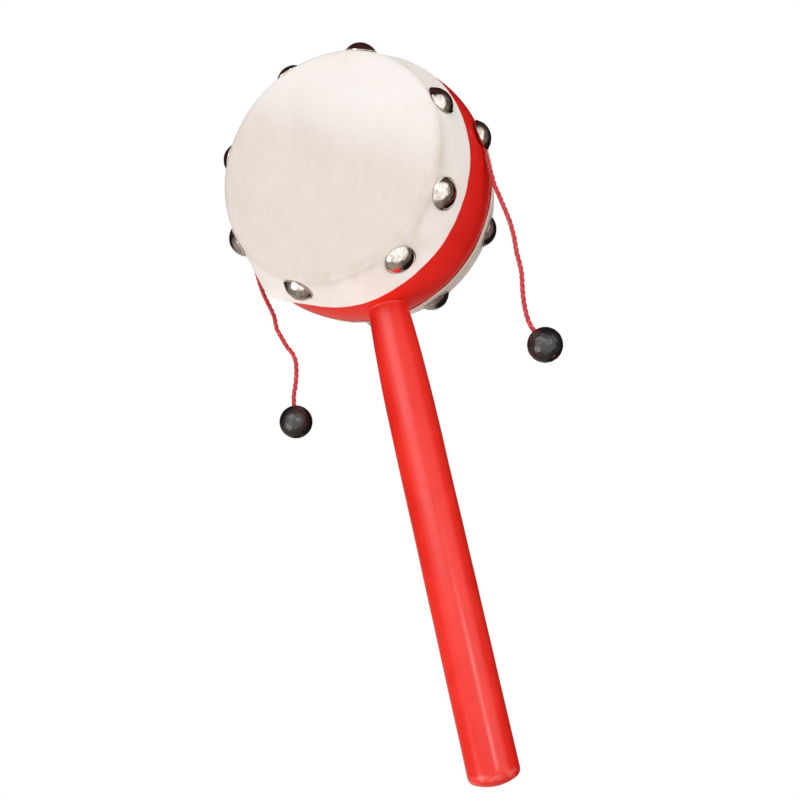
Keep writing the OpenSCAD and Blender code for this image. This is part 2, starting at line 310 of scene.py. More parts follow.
def turned(name, outline, sides):
    """A solid turned about Z: a circle is extruded and resized along (radius, height) points. Rings that
    meet are merged, and open ends are filled."""
    deselect()
    radius, height = outline[0]
    bpy.ops.mesh.primitive_circle_add(vertices=sides, radius=radius, location=(0, 0, height))
    piece = named(bpy.context.object, name)
    apply_place()
    bpy.ops.object.mode_set(mode="EDIT")
    bpy.ops.mesh.select_mode(type="EDGE")
    bpy.ops.mesh.select_all(action="SELECT")
    for next_radius, next_height in outline[1:]:
        bpy.ops.mesh.extrude_edges_move(TRANSFORM_OT_translate={"value": (0, 0, next_height - height)})
        share = next_radius / radius
        bpy.ops.transform.resize(value=(share, share, 1), center_override=(0, 0, next_height))
        radius, height = next_radius, next_height
    bpy.ops.mesh.select_all(action="SELECT")
    bpy.ops.mesh.remove_doubles(threshold=MM / 1000)
    bpy.ops.mesh.select_all(action="DESELECT")
    bpy.ops.mesh.select_non_manifold(extend=False)
    bpy.ops.mesh.fill_holes(sides=0)
    bpy.ops.object.mode_set(mode="OBJECT")
    outward_faces(piece)
    return piece


def lumpy(piece, size, height):
    """Raises and sinks a surface in soft lumps of one size."""
    lumps = bpy.data.textures.new("lumps", "CLOUDS")
    lumps.noise_scale = size
    lumps.noise_depth = 1
    select_only(piece)
    displace = piece.modifiers.new("lumps", "DISPLACE")
    displace.texture = lumps
    displace.texture_coords = "LOCAL"
    displace.strength = height
    bpy.ops.object.modifier_apply(modifier=displace.name)
    bpy.data.textures.remove(lumps)


def smooth(piece, degrees):
    """Shades a piece smoothly, apart from its edges that are sharper than an angle."""
    select_only(piece)
    bpy.ops.object.shade_smooth_by_angle(angle=math.radians(degrees))


def finish_piece(piece, material, body, slot, *nodes):
    """Gives a piece its material, its body and the nodes of the frame that it stands for."""
    piece.data.materials.clear()
    piece.data.materials.append(material)
    if body:
        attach(piece, body)
    if nodes:
        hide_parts(*nodes)
    return piece


def arc(centre, radius, start, end, steps):
    """Points of an arc, with its angles in radians from the first axis."""
    turns = [start + (end - start) * i / steps for i in range(steps + 1)]
    return [(centre[0] + radius * math.cos(a), centre[1] + radius * math.sin(a)) for a in turns]


def line(start, end, steps):
    """Points on a straight stretch, without its first one."""
    shares = [(i + 1) / steps for i in range(steps)]
    return [(start[0] + (end[0] - start[0]) * s, start[1] + (end[1] - start[1]) * s) for s in shares]


def ring_round(middle, radius, first_way, second_way, sides, start=0.0):
    """Points of a ring about its middle, in the plane of two ways."""
    turns = [start + 2 * math.pi * k / sides for k in range(sides)]
    return [middle + radius * (math.cos(a) * first_way + math.sin(a) * second_way) for a in turns]


def uneven(place, scale, seed):
    """Smooth unevenness from -1 to 1 at a place."""
    return noise.noise(Vector(place) * scale + Vector((seed, seed * 2, -seed)))


# Helpers for materials

def add(tree, kind, inputs, **settings):
    """A new node with its settings, its input values and its links."""
    made = tree.nodes.new(kind)
    for name, value in settings.items():
        setattr(made, name, value)
    for socket, value in inputs.items():
        if isinstance(value, bpy.types.NodeSocket):
            tree.links.new(value, made.inputs[socket])
        else:
            made.inputs[socket].default_value = value
    return made


def mixed(tree, factor, first, second):
    """The colour between two colours."""
    return add(tree, "ShaderNodeMix", {0: factor, 6: first, 7: second}, data_type="RGBA").outputs[2]


def ranged(tree, value, low, high, to_low, to_high):
    """A value carried smoothly from one range to another, and held at its ends."""
    inputs = {"Value": value, "From Min": low, "From Max": high, "To Min": to_low, "To Max": to_high}
    return add(tree, "ShaderNodeMapRange", inputs, interpolation_type="SMOOTHSTEP").outputs["Result"]


def worked(tree, operation, first, second):
    """The result of a sum of two values."""
    return add(tree, "ShaderNodeMath", {0: first, 1: second}, operation=operation).outputs[0]


def times(tree, first, second):
    return worked(tree, "MULTIPLY", first, second)


def over(tree, colour, coat, mask, most):
    """A colour with another one laid over it where the mask is, at most to a share."""
    return mixed(tree, times(tree, mask, most), colour, coat)


def moved(tree, place, operation, by):
    """A place that is multiplied, or moved, by a vector."""
    return add(tree, "ShaderNodeVectorMath", {0: place, 1: by}, operation=operation).outputs["Vector"]


def along_way(tree, place, way):
    """How far a place lies along a way."""
    return add(tree, "ShaderNodeVectorMath", {0: place, 1: way}, operation="DOT_PRODUCT").outputs["Value"]


def length_of(tree, place):
    return add(tree, "ShaderNodeVectorMath", {0: place}, operation="LENGTH").outputs["Value"]


def part_of(tree, place, axis):
    return add(tree, "ShaderNodeSeparateXYZ", {0: place}).outputs[axis]


def object_place(tree):
    return add(tree, "ShaderNodeTexCoord", {}).outputs["Object"]


def stretched(tree, place, scale, turn=(0, 0, 0)):
    return add(tree, "ShaderNodeMapping", {"Vector": place, "Scale": scale, "Rotation": turn}).outputs[0]


def new_group(name, inputs, output):
    """A node group that has a place and values as inputs and one value as output, with its two end nodes."""
    group = bpy.data.node_groups.new(name, "ShaderNodeTree")
    group.interface.new_socket(name="Place", in_out="INPUT", socket_type="NodeSocketVector")
    for label, value in inputs.items():
        socket = group.interface.new_socket(name=label, in_out="INPUT", socket_type="NodeSocketFloat")
        socket.default_value = value
    group.interface.new_socket(name=output, in_out="OUTPUT", socket_type="NodeSocketFloat")
    return group, group.nodes.new("NodeGroupInput").outputs, group.nodes.new("NodeGroupOutput").inputs


def mottle_group():
    """Soft blotches: a mask from 0 to 1 of cloudy noise."""
    group, given, mask = new_group("mottle", {"Scale": 50.0, "Low": 0.35, "High": 0.65}, "Mask")
    cloud = add(group, "ShaderNodeTexNoise", {
        "Vector": given["Place"], "Scale": given["Scale"], "Detail": 5.0, "Roughness": 0.55,
        "Distortion": 0.8})
    group.links.new(ranged(group, cloud.outputs[0], given["Low"], given["High"], 0.0, 1.0), mask["Mask"])
    return group


def pitted_group():
    """Fine pits and lumps: a height from cells of one size, with finer grain on it."""
    group, given, height = new_group("pitted", {"Cells": 1000.0, "Grain": 3000.0}, "Height")
    cells = add(group, "ShaderNodeTexVoronoi", {
        "Vector": given["Place"], "Scale": given["Cells"], "Smoothness": 0.9}, feature="SMOOTH_F1")
    grain = add(group, "ShaderNodeTexNoise", {
        "Vector": given["Place"], "Scale": given["Grain"], "Detail": 3.0, "Roughness": 0.5})
    pits = worked(group, "ADD", cells.outputs["Distance"], times(group, grain.outputs[0], 0.4))
    group.links.new(pits, height["Height"])
    return group


MOTTLE = mottle_group()
PITTED = pitted_group()


def mottle(tree, place, scale, low=0.35, high=0.65):
    inputs = {"Place": place, "Scale": scale, "Low": low, "High": high}
    return add(tree, "ShaderNodeGroup", inputs, node_tree=MOTTLE).outputs["Mask"]


def pitted(tree, place, cells, grain):
    inputs = {"Place": place, "Cells": cells, "Grain": grain}
    return add(tree, "ShaderNodeGroup", inputs, node_tree=PITTED).outputs["Height"]


def new_material(name):
    """A material with its node tree and its shader."""
    material = bpy.data.materials.new(name)
    material.use_nodes = True
    return material, material.node_tree, material.node_tree.nodes["Principled BSDF"]


def cleared(owner):
    """The emptied node tree of a material or a world."""
    owner.use_nodes = True
    owner.node_tree.nodes.clear()
    return owner.node_tree


def feed(tree, shader, colour, roughness=None):
    """Links what changes over the surface to the shader."""
    tree.links.new(colour, shader.inputs["Base Color"])
    if roughness is not None:
        tree.links.new(roughness, shader.inputs["Roughness"])


def hold(shader, values):
    """Sets what is the same all over the surface on the shader's own sockets."""
    for name, value in values.items():
        shader.inputs[name].default_value = value


def bumped(tree, shader, height, strength, distance):
    bump = add(tree, "ShaderNodeBump", {"Height": height, "Strength": strength, "Distance": distance})
    tree.links.new(bump.outputs["Normal"], shader.inputs["Normal"])


# Materials

def red_lacquer():
    """Glossy red lacquer on turned wood, brushed on a little unevenly, with specks of dust in it. It is
    painted deeper red over the shell above its lowest part, as painted shade, and paler along the edge of
    the handle's end, where it is partly rubbed and partly a painted highlight."""
    red, light_red = (0.73, 0.010, 0.003, 1), (0.79, 0.016, 0.005, 1)
    streak_red, dust_red = (0.66, 0.004, 0.002, 1), (0.45, 0.004, 0.004, 1)
    shell_shade_red, rubbed_highlight_red = (0.66, 0.003, 0.001, 1), (0.86, 0.16, 0.13, 1)
    material, tree, shader = new_material("red_lacquer")
    place = object_place(tree)
    cloud = mottle(tree, place, scale=45.0)
    streak = mottle(tree, stretched(tree, place, (6.0, 6.0, 1.0)), scale=60.0, low=0.3, high=0.7)
    speck = mottle(tree, place, scale=900.0, low=0.68, high=0.76)
    height = part_of(tree, place, "Z")
    # Painted shade: the shell above its lowest part is painted a deeper red, so its bottom stays lighter as
    # if lit from below.
    shade_over_shell = ranged(tree, height, SHELL_BOTTOM_Z + 1.5 * MM, SHELL_BOTTOM_Z + 16.5 * MM, 0.0, 1.0)
    # Partly wear, partly a painted highlight: the edge of the handle's end is painted paler and pinker.
    end_edge = times(tree, ranged(tree, height, END_Z + 1.1 * MM, END_Z + 2.3 * MM, 0.0, 1.0),
                     ranged(tree, height, END_Z + 2.9 * MM, END_Z + 4.7 * MM, 1.0, 0.0))
    rubbed = times(tree, end_edge, mottle(tree, place, scale=260.0, low=0.42, high=0.62))
    colour = mixed(tree, cloud, red, light_red)
    colour = over(tree, colour, streak_red, streak, most=0.3)
    colour = over(tree, colour, dust_red, speck, most=0.5)
    colour = over(tree, colour, shell_shade_red, shade_over_shell, most=0.8)
    colour = over(tree, colour, rubbed_highlight_red, rubbed, most=0.55)
    feed(tree, shader, colour, ranged(tree, cloud, 0.0, 1.0, 0.30, 0.40))
    hold(shader, {"IOR": 1.45, "Coat Weight": 0.25, "Coat Roughness": 0.18})
    pits = pitted(tree, place, cells=380.0, grain=1300.0)
    brushed = worked(tree, "ADD", pits, times(tree, streak, 0.5))
    bumped(tree, shader, brushed, strength=0.10, distance=0.2 * MM)
    return material


def goatskin():
    """Dry rawhide: warm white, clouded and fibrous, with faint pores. It is painted paler at the upper right
    as painted light, is paler on the skirt and grimy along the rim, and is painted darker low on the rear
    skirt as painted shade."""
    cream, light_cream = (0.615, 0.538, 0.495, 1), (0.655, 0.58, 0.537, 1)
    patch_cream, painted_light_cream = (0.61, 0.52, 0.47, 1), (0.80, 0.775, 0.755, 1)
    skirt_cream, fibre_cream = (0.88, 0.81, 0.765, 1), (0.82, 0.76, 0.71, 1)
    pore_brown, rear_shade_brown, grime_brown = (0.54, 0.46, 0.40, 1), (0.46, 0.38, 0.31, 1), (0.56, 0.49, 0.39, 1)
    material, tree, shader = new_material("goatskin")
    place = object_place(tree)
    across = moved(tree, moved(tree, place, "SUBTRACT", DRUM_AT), "MULTIPLY", (1, 0, 1))
    radius = length_of(tree, across)
    low_side = ranged(tree, along_way(tree, across, (0.5, 0, -0.87)), 15 * MM, 38 * MM, 0.0, 1.0)
    top_side = ranged(tree, along_way(tree, across, (0.65, 0, 0.76)), 1 * MM, 26 * MM, 0.0, 1.0)
    cloud = mottle(tree, place, scale=32.0, low=0.3, high=0.7)
    patch = mottle(tree, place, scale=110.0, low=0.35, high=0.7)
    drawn_out = stretched(tree, place, (1.0, 1.0, 0.35), turn=(0, 0.6, 0))
    fibre = mottle(tree, drawn_out, scale=700.0, low=0.3, high=0.7)
    pore = mottle(tree, place, scale=1500.0, low=0.62, high=0.72)
    # Painted light: the upper right of the skin is painted paler, where light falls on it more.
    upper_right_painted_light = times(tree, top_side, ranged(tree, cloud, 0.0, 1.0, 0.75, 1.0))
    on_skirt = ranged(tree, radius, 40.5 * MM, 43 * MM, 0.0, 1.0)
    on_rear = ranged(tree, part_of(tree, place, "Y"), 8 * MM, 13 * MM, 0.0, 1.0)
    rim = times(tree, ranged(tree, radius, 37 * MM, 40.2 * MM, 0.0, 1.0),
                ranged(tree, radius, 40.8 * MM, 43.5 * MM, 1.0, 0.25))
    grime = times(tree, times(tree, rim, mottle(tree, place, scale=80.0)),
                  ranged(tree, low_side, 0.0, 1.0, 0.06, 0.75))
    colour = mixed(tree, cloud, cream, light_cream)
    colour = over(tree, colour, patch_cream, patch, most=0.22)
    colour = over(tree, colour, painted_light_cream, upper_right_painted_light, most=0.74)
    colour = over(tree, colour, skirt_cream, on_skirt, most=0.8)
    colour = over(tree, colour, fibre_cream, fibre, most=0.12)
    colour = over(tree, colour, pore_brown, pore, most=0.22)
    # Painted shade: the rear skirt is painted browner and darker low down, where it lies in shade.
    colour = over(tree, colour, rear_shade_brown, times(tree, on_rear, low_side), most=0.6)
    colour = mixed(tree, grime, colour, grime_brown)
    feed(tree, shader, colour, ranged(tree, cloud, 0.0, 1.0, 0.42, 0.55))
    hold(shader, {
        "Subsurface Weight": 0.08, "Subsurface Radius": (0.004, 0.002, 0.001), "Subsurface Scale": 0.3})
    pits = pitted(tree, place, cells=900.0, grain=2600.0)
    fibrous = worked(tree, "ADD", pits, times(tree, fibre, 0.6))
    bumped(tree, shader, fibrous, strength=0.12, distance=0.12 * MM)
    return material


def bright_nickel():
    """Bright plated sheet, a little dented, scratched and dulled in patches."""
    bright, dull, scratched = (0.82, 0.785, 0.745, 1), (0.44, 0.375, 0.32, 1), (0.30, 0.28, 0.26, 1)
    material, tree, shader = new_material("bright_nickel")
    place = object_place(tree)
    patina = mottle(tree, place, scale=360.0, low=0.45, high=0.75)
    drawn_out = stretched(tree, place, (1.0, 9.0, 1.0), turn=(0.5, 0.4, 0.7))
    scratch = mottle(tree, drawn_out, scale=420.0, low=0.56, high=0.66)
    colour = over(tree, mixed(tree, patina, bright, dull), scratched, scratch, most=0.4)
    feed(tree, shader, colour, ranged(tree, patina, 0.0, 1.0, 0.10, 0.26))
    hold(shader, {"Metallic": 1.0})
    pits = pitted(tree, place, cells=520.0, grain=1600.0)
    bumped(tree, shader, pits, strength=0.10, distance=0.25 * MM)
    return material


def red_cord():
    """Twisted cotton: fine fibres laid along each strand, paler where they fray."""
    dark_red, red, frayed_red = (0.34, 0.009, 0.014, 1), (0.66, 0.036, 0.042, 1), (0.90, 0.15, 0.17, 1)
    material, tree, shader = new_material("red_cord")
    strand = add(tree, "ShaderNodeTexCoord", {}).outputs["UV"]
    drawn_out = stretched(tree, strand, (9.0, 0.9, 1.0), turn=(0, 0, 0.35))
    fibres = add(tree, "ShaderNodeTexNoise", {
        "Vector": drawn_out, "Scale": 1.0, "Detail": 4.0, "Roughness": 0.6}).outputs[0]
    fray = mottle(tree, object_place(tree), scale=700.0, low=0.42, high=0.72)
    colour = mixed(tree, ranged(tree, fibres, 0.35, 0.65, 0.0, 1.0), dark_red, red)
    feed(tree, shader, over(tree, colour, frayed_red, fray, most=0.3))
    hold(shader, {"Roughness": 0.75, "Sheen Weight": 0.2, "Sheen Roughness": 0.4})
    bumped(tree, shader, fibres, strength=0.5, distance=0.12 * MM)
    return material


def black_bead():
    """Satin black paint on a turned ball, pitted and rubbed to grey in spots."""
    black, grey = (0.004, 0.004, 0.005, 1), (0.014, 0.014, 0.016, 1)
    material, tree, shader = new_material("black_bead")
    place = object_place(tree)
    rubbed = mottle(tree, place, scale=420.0, low=0.45, high=0.75)
    feed(tree, shader, mixed(tree, rubbed, black, grey), ranged(tree, rubbed, 0.0, 1.0, 0.34, 0.20))
    hold(shader, {"Specular IOR Level": 0.75, "Coat Weight": 0.15, "Coat Roughness": 0.3})
    pits = pitted(tree, place, cells=800.0, grain=1500.0)
    bumped(tree, shader, pits, strength=0.45, distance=0.25 * MM)
    return material


# Camera, floor and light

def place_camera():
    deselect()
    bpy.ops.object.camera_add()
    camera = bpy.context.object
    camera.name = "photo_camera"
    ahead = (CAMERA_AIM - CAMERA_AT).to_track_quat("-Z", "Y").to_matrix()
    turn = ahead @ Matrix.Rotation(CAMERA_ROLL, 3, "Z")
    camera.matrix_world = Matrix.Translation(CAMERA_AT) @ turn.to_4x4()
    camera.data.sensor_width = SENSOR_MM
    camera.data.lens = LENS_MM
    camera.data.clip_start = 10 * MM
    bpy.context.scene.camera = camera


def seen_or_mirrored(tree):
    """1 for what is seen straight, in a mirror or through glass, and 0 for light on its way."""
    path = add(tree, "ShaderNodeLightPath", {}).outputs
    mirrored = worked(tree, "MAXIMUM", path["Is Glossy Ray"], path["Is Transmission Ray"])
    return worked(tree, "MAXIMUM", path["Is Camera Ray"], mirrored)


def light_world():
    world = bpy.data.worlds.new("studio")
    bpy.context.scene.world = world
    tree = cleared(world)
    white = add(tree, "ShaderNodeBackground", {"Color": WHITE, "Strength": 1.0}).outputs[0]
    soft = add(tree, "ShaderNodeBackground", {"Color": (1, 0.985, 0.97, 1), "Strength": 0.45}).outputs[0]
    both = add(tree, "ShaderNodeMixShader", {0: seen_or_mirrored(tree), 1: soft, 2: white})
    add(tree, "ShaderNodeOutputWorld", {"Surface": both.outputs[0]})


def light_studio():
    for name, at, size, watts, mirrored in SOFTBOXES:
        deselect()
        bpy.ops.object.light_add(type="AREA", location=at)
        box = bpy.context.object
        box.name = name
        box.rotation_euler = (LIGHT_AIM - Vector(at)).to_track_quat("-Z", "Y").to_euler()
        box.data.shape = "SQUARE"
        box.data.size = size
        box.data.energy = watts
        box.visible_glossy = mirrored


def lay_floor():
    """A pale round floor that fades to the white of the background."""
    deselect()
    bpy.ops.mesh.primitive_circle_add(
        vertices=96, radius=FLOOR_R, fill_type="NGON", location=(0, 0, FLOOR_Z))
    floor = named(bpy.context.object, "floor")
    apply_place()
    material = bpy.data.materials.new("floor_paper")
    tree = cleared(material)
    reach = length_of(tree, moved(tree, object_place(tree), "MULTIPLY", (1, 1, 0)))
    fade = times(tree, ranged(tree, reach, *FLOOR_FADE, 0.0, 1.0), seen_or_mirrored(tree))
    paper = add(tree, "ShaderNodeBsdfDiffuse", {"Color": (0.92, 0.92, 0.92, 1)}).outputs[0]
    white = add(tree, "ShaderNodeEmission", {"Color": WHITE, "Strength": 1.0}).outputs[0]
    both = add(tree, "ShaderNodeMixShader", {0: fade, 1: paper, 2: white})
    add(tree, "ShaderNodeOutputMaterial", {"Surface": both.outputs[0]})
    floor.data.materials.append(material)
    floor.visible_glossy = False


def towards(tree, place, way, edge, core):
    """A soft round patch on the curtain: 1 in its core, and 0 outside its edge."""
    return ranged(tree, along_way(tree, place, Vector(way).normalized()), edge, core, 0.0, 1.0)


def curtain_tint(tree):
    """The curtain's colours: white in front, pale in patches at the left, dark red-brown at the left and
    above, brown at the right and below, and black behind. Places are shares of its radius."""
    red_browns = ((0.035, 0.010, 0.012, 1), (0.075, 0.032, 0.030, 1))
    browns = ((0.08, 0.060, 0.048, 1), (0.15, 0.115, 0.092, 1))
    low_browns = ((0.12, 0.088, 0.070, 1), (0.22, 0.165, 0.135, 1))
    black, lamp_white, lamp_bright = (0.014, 0.009, 0.008, 1), (1.25, 1.2, 1.15, 1), (5.0, 4.85, 4.7, 1)
    low_grey, back_grey = (0.36, 0.31, 0.27, 1), (0.38, 0.33, 0.29, 1)
    front = (CAMERA_AT.x, CAMERA_AT.y, 0)
    from_middle = moved(tree, object_place(tree), "SUBTRACT", CURTAIN_AT)
    place = moved(tree, from_middle, "DIVIDE", (CURTAIN_R, CURTAIN_R, CURTAIN_R))
    across = part_of(tree, place, "X")
    height = part_of(tree, place, "Z")
    cloud = mottle(tree, from_middle, scale=3.0)
    left = mixed(tree, cloud, *red_browns)
    right = mixed(tree, cloud, *browns)
    low = mixed(tree, cloud, *low_browns)
    high = mixed(tree, ranged(tree, across, -0.1, 0.5, 0.0, 1.0), left, right)
    high = mixed(tree, ranged(tree, height, 0.5, 0.75, 0.0, 1.0), high, left)
    brown = mixed(tree, ranged(tree, height, -0.35, 0.1, 0.0, 1.0), low, high)
    tint = mixed(tree, towards(tree, place, front, -0.45, -0.1), black, brown)
    tint = mixed(tree, towards(tree, place, (-0.62, -0.25, -0.74), 0.3, 0.9), tint, low_grey)
    tint = mixed(tree, towards(tree, place, (-0.62, 0.76, -0.20), 0.80, 0.96), tint, back_grey)
    in_front = times(tree, towards(tree, place, front, 0.2, 0.5), ranged(tree, height, 0.35, 0.7, 1.0, 0.0))
    low_left = times(tree, ranged(tree, across, -0.5, -0.1, 0.75, 0.0),
                     ranged(tree, height, -0.12, 0.04, 1.0, 0.0))
    tint = mixed(tree, times(tree, in_front, worked(tree, "SUBTRACT", 1.0, low_left)), tint, lamp_white)
    return mixed(tree, towards(tree, place, (-0.60, -0.66, -0.42), 0.93, 0.98), tint, lamp_bright)


def hang_curtain():
    """A curtain all round, which shows only in the gloss of metal, lacquer and beads."""
    deselect()
    bpy.ops.mesh.primitive_uv_sphere_add(
        segments=48, ring_count=24, radius=CURTAIN_R, location=CURTAIN_AT)
    curtain = named(bpy.context.object, "curtain")
    apply_place()
    material = bpy.data.materials.new("curtain")
    tree = cleared(material)
    glow = add(tree, "ShaderNodeEmission", {"Color": curtain_tint(tree), "Strength": 1.0})
    add(tree, "ShaderNodeOutputMaterial", {"Surface": glow.outputs[0]})
    curtain.data.materials.append(material)
    curtain.visible_camera = False
    curtain.visible_diffuse = False
    curtain.visible_shadow = False
    curtain.visible_transmission = False


# Cords, beads and knots

def cord_place(hand, at):
    """A place on a cord from its distance outwards and its drop in millimetres."""
    return Vector((hand * (SHELL_R + at[0] * MM), 0, ANCHOR_Z - at[1] * MM))


def smooth_path(points, step):
    """Places along a smooth curve through the points, a step apart."""
    ends = [points[0] * 2 - points[1], *points, points[-1] * 2 - points[-2]]
    fine = []
    for a, b, c, d in zip(ends, ends[1:], ends[2:], ends[3:]):
        for i in range(CURVE_STEPS):
            t = i / CURVE_STEPS
            bend = (c - a) * t + (2 * a - 5 * b + 4 * c - d) * t ** 2 + (3 * b - a - 3 * c + d) * t ** 3
            fine.append(b + 0.5 * bend)
    fine.append(points[-1])
    path = [fine[0]]
    walked = 0.0
    for here, there in zip(fine, fine[1:]):
        reach = (there - here).length
        while walked + reach >= step:
            here = here + (there - here) * ((step - walked) / reach)
            path.append(here)
            reach = (there - here).length
            walked = 0.0
        walked += reach
    return path


def tubes(name, strands, sides, closed=False):
    """A mesh of tubes. Each strand is a list of rings, and a ring has its points and its place along the
    strand. The mesh's map runs round each tube and along it."""
    points, faces, spots = [], [], []
    for rings in strands:
        start = len(points)
        step = rings[1][1] - rings[0][1]
        for ring, _ in rings:
            points.extend(ring)
        for i in range(len(rings) if closed else len(rings) - 1):
            here = start + i * sides
            there = start + (i + 1) % len(rings) * sides
            low = rings[i][1]
            high = low + step
            for k in range(sides):
                after = (k + 1) % sides
                left, right = k / sides, (k + 1) / sides
                faces.append((here + k, here + after, there + after, there + k))
                spots.append(((left, low), (right, low), (right, high), (left, high)))
        if not closed:
            for i in (0, len(rings) - 1):
                faces.append(tuple(start + i * sides + k for k in range(sides)))
                spots.append(((0.5, rings[i][1]),) * sides)
    mesh = bpy.data.meshes.new(name)
    mesh.from_pydata(points, [], faces)
    strand_map = mesh.uv_layers.new(name="strand")
    for face, face_spots in zip(mesh.polygons, spots):
        for corner, spot in zip(face.loop_indices, face_spots):
            strand_map.data[corner].uv = spot
    piece = bpy.data.objects.new(name, mesh)
    bpy.context.scene.collection.objects.link(piece)
    outward_faces(piece)
    smooth(piece, degrees=60)
    return piece


def flatness(drop):
    """How thick the cord is at a drop below its nail, as a share: its tack presses it flat."""
    share = min(max((drop - PRESSED_DROP) / (FREE_DROP - PRESSED_DROP), 0), 1)
    return CORD_FLAT_SHARE + (1 - CORD_FLAT_SHARE) * share * share * (3 - 2 * share)


def twisted(name, hand, path, first_step):
    """Strands twisted round a path. Their lay runs on from the cord's step that the path starts at."""
    strands = []
    for strand in range(STRANDS):
        rings = []
        for i, at in enumerate(path):
            way = (path[min(i + 1, len(path) - 1)] - path[max(i - 1, 0)]).normalized()
            out = Vector((-way.z, 0, way.x)) * hand
            side = way.cross(out)
            out = out * flatness(ANCHOR_Z - at.z)
            along = (first_step + i) * CORD_STEP
            lay = 2 * math.pi * (along / LAY_L + strand / STRANDS)
            middle = at + LAY_R * (math.cos(lay) * out + math.sin(lay) * side)
            ring = ring_round(middle, STRAND_R, out, side, STRAND_SIDES, start=lay)
            rings.append((ring, along / (2 * STRAND_R)))
        strands.append(rings)
    return tubes(name, strands, STRAND_SIDES)


def bead_outline():
    """Half of a drilled ball, from its upper hole round to the knot's pocket and back through the bore."""
    top = math.asin((BEAD_BORE_R + HOLE_EDGE) / BEAD_R)
    bottom = math.asin((POCKET_R + HOLE_EDGE) / BEAD_R)
    outside = [(r, z) for z, r in arc((0, 0), BEAD_R, top, math.pi - bottom, steps=70)]
    pocket = [(POCKET_R, outside[-1][1] + HOLE_EDGE / 2), (POCKET_R, KNOT_L - BEAD_R)]
    bore = [(BEAD_BORE_R, KNOT_L - BEAD_R), (BEAD_BORE_R, outside[0][1] - HOLE_EDGE / 2)]
    return [*outside, *pocket, *bore, outside[0]]


def bead_matrix(hand, at, lean):
    """Puts a ball turned about Z, with its knot's end down, where the cord hangs it."""
    return Matrix.Translation(cord_place(hand, at)) @ Matrix.Rotation(-hand * lean, 4, "Y")


def make_bead(side, matrix, lump_h, material):
    piece = turned(f"{side}_bead_painted", bead_outline(), sides=140)
    placed(piece, matrix)
    lumpy(piece, BEAD_LUMP, lump_h)
    smooth(piece, degrees=50)
    return finish_piece(piece, material, f"{side}_lower", "black_bead", f"{side}_bead")


def make_knot(side, matrix, material):
    """An overhand knot drawn tight in its pocket: one strand goes twice round and winds through itself."""
    middles = []
    for i in range(KNOT_RINGS):
        turn = 2 * math.pi * i / KNOT_RINGS
        wind = 3 * turn
        swing = (KNOT_R - KNOT_STRAND_R) * (1 - KNOT_SWING + KNOT_SWING * math.cos(wind))
        rise = KNOT_WAVE_H * math.sin(wind)
        middles.append(Vector((swing * math.cos(2 * turn), swing * math.sin(2 * turn), rise)))
    rings = []
    for i, at in enumerate(middles):
        way = (middles[(i + 1) % KNOT_RINGS] - middles[i - 1]).normalized()
        side_way = way.cross(Vector((0, 0, 1))).normalized()
        ring = ring_round(at, KNOT_STRAND_R, side_way, side_way.cross(way), STRAND_SIDES)
        rings.append((ring, i / 4))
    piece = tubes(f"{side}_knot_drawn", [rings], STRAND_SIDES, closed=True)
    placed(piece, matrix @ Matrix.Translation((0, 0, KNOT_L / 2 + KNOT_SUNK - BEAD_R)))
    return finish_piece(piece, material, f"{side}_lower", "red_cord", f"{side}_knot")


def make_eye(side, hand, material):
    """The flat eye of a cord, wound round its nail under the tack."""
    section = arc((NAIL_R + CORD_R + EYE_ROOM, 0), CORD_R, 0, 2 * math.pi, steps=16)
    piece = turned(f"{side}_cord_eye", [(r, z * CORD_FLAT_SHARE) for r, z in section], sides=48)
    at = Matrix.Translation((hand * (SHELL_R + EYE_OUT), 0, ANCHOR_Z))
    placed(piece, at @ Matrix.Rotation(math.radians(90), 4, "Y"))
    smooth(piece, degrees=60)
    return finish_piece(piece, material, f"{side}_upper", "red_cord")


def make_cord(side, cotton, paint, hand, route, bend_out, bead_at, bead_lean, bead_lump_h):
    """A cord in two lengths, which meet above the knuckle, with its eye, bead and knot."""
    hang = bead_matrix(hand, bead_at, bead_lean)
    bead = make_bead(side, hang, bead_lump_h, paint)
    knot = make_knot(side, hang, cotton)
    eye = make_eye(side, hand, cotton)
    reaches = (-BEAD_R / MM, 0, (BEAD_R - KNOT_L + KNOT_SUNK) / MM)
    bore = [(bead_at[0] + s * math.sin(bead_lean), bead_at[1] + s * math.cos(bead_lean)) for s in reaches]
    path = smooth_path([cord_place(hand, at) for at in (*route, *bore)], CORD_STEP)
    join = min(i for i, at in enumerate(path) if at.z < ANCHOR_Z - JOIN_DROP)
    upper_path, lower_path = path[:join + 1], path[join:]
    upper = twisted(f"{side}_cord_above", hand, upper_path, 0)
    lower = twisted(f"{side}_cord_below", hand, lower_path, join)
    finish_piece(upper, cotton, None, "red_cord", f"{side}_cord_upper", f"{side}_cord_middle")
    finish_piece(lower, cotton, None, "red_cord", f"{side}_cord_lower")
    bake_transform(upper)
    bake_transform(lower)


# Drum

def drum_matrix(side):
    """Lays what was turned about Z along the drum's axis, with its top out of that side's head."""
    return Matrix.Translation(DRUM_AT) @ Matrix.Rotation(math.radians(-90 * side), 4, "X")


